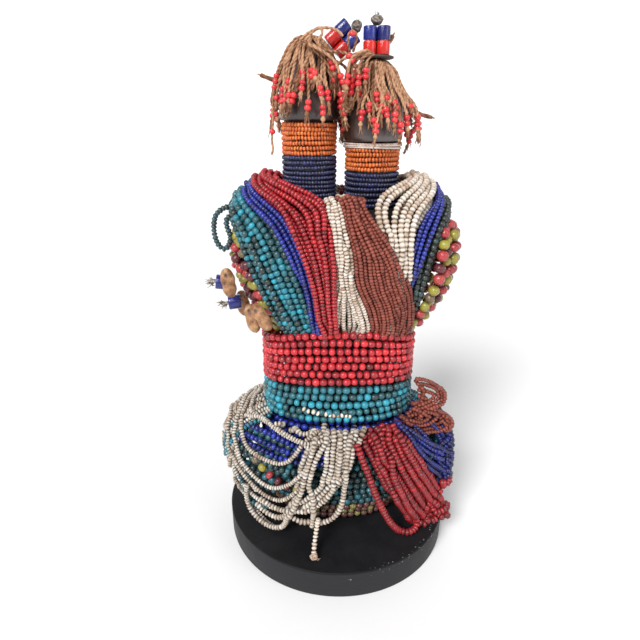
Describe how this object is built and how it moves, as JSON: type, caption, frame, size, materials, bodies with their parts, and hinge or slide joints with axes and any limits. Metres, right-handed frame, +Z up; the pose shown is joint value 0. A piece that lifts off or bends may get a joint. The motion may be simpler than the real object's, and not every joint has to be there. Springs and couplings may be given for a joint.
{
  "type": "namji doll",
  "caption": "Two-headed carved wooden doll wrapped in glass bead strands, with cord hair and crown beads, standing on a round black wooden stand.",
  "frame": {"origin": "centre of the stand's underside, on the surface that it stands on", "axes": "+Z up to the heads, the front faces -Y, and +X is to the right of someone who looks at the front"},
  "size_m": [0.1433, 0.14, 0.2976],
  "materials": {
    "stand_paint": "satin",
    "carved_wood": "polished",
    "hair_cord": "matte",
    "dark_hide": "matte",
    "seed_pod": "satin",
    "orange_glass": "satin",
    "navy_glass": "satin",
    "red_glass": "satin",
    "blue_glass": "satin",
    "teal_glass": "satin",
    "green_glass": "satin",
    "terracotta_glass": "satin",
    "mixed_glass": "satin",
    "white_glass": "satin"
  },
  "bodies": {
    "root": {"base_disc": "stand_paint", "carved_figure": "carved_wood", "left_neck_orange_beads": "orange_glass", "right_neck_orange_beads": "orange_glass", "left_neck_navy_beads": "navy_glass", "right_neck_navy_beads": "navy_glass", "left_hair_cords": "hair_cord", "right_hair_cords": "hair_cord", "right_crown_plate": "dark_hide", "left_crown_red_bead_1": "red_glass", "left_crown_red_bead_2": "red_glass", "left_crown_red_bead_3": "red_glass", "left_crown_blue_bead_1": "blue_glass", "left_crown_blue_bead_2": "blue_glass", "left_crown_blue_bead_3": "blue_glass", "left_crown_knot": "hair_cord", "right_crown_red_bead_1": "red_glass", "right_crown_red_bead_2": "red_glass", "right_crown_red_bead_3": "red_glass", "right_crown_blue_bead_1": "blue_glass", "right_crown_blue_bead_2": "blue_glass", "right_crown_blue_bead_3": "blue_glass", "right_crown_knot": "hair_cord", "red_shoulder_strands": "red_glass", "blue_left_strands": "blue_glass", "teal_shoulder_strands": "teal_glass", "white_shoulder_strands": "white_glass", "blue_right_strands": "blue_glass", "green_shoulder_strands": "green_glass", "white_front_strands": "white_glass", "terracotta_front_strands": "terracotta_glass", "white_back_strands": "white_glass", "terracotta_back_strands": "terracotta_glass", "mixed_beads_left": "mixed_glass", "mixed_beads_right": "mixed_glass", "mixed_beads_right_back": "mixed_glass", "seed_pod_1_left": "seed_pod", "seed_pod_2_left": "seed_pod", "seed_pod_3_left": "seed_pod", "seed_pod_4_left": "seed_pod", "seed_pod_5_right": "seed_pod", "seed_pod_6_right": "seed_pod", "blue_tube_bead_1": "blue_glass", "blue_tube_bead_2": "blue_glass", "left_arm_loop": "green_glass", "red_belt": "red_glass", "teal_belt": "teal_glass", "blue_hip_wrap": "blue_glass", "teal_hip_wrap": "teal_glass", "mixed_hip_wrap": "mixed_glass", "white_skirt_loops": "white_glass", "red_skirt_loops": "red_glass", "blue_skirt_loops": "blue_glass", "back_skirt_loops": "mixed_glass", "terracotta_side_loops": "terracotta_glass", "white_tail_strand": "white_glass"}
  },
  "joints": []
}
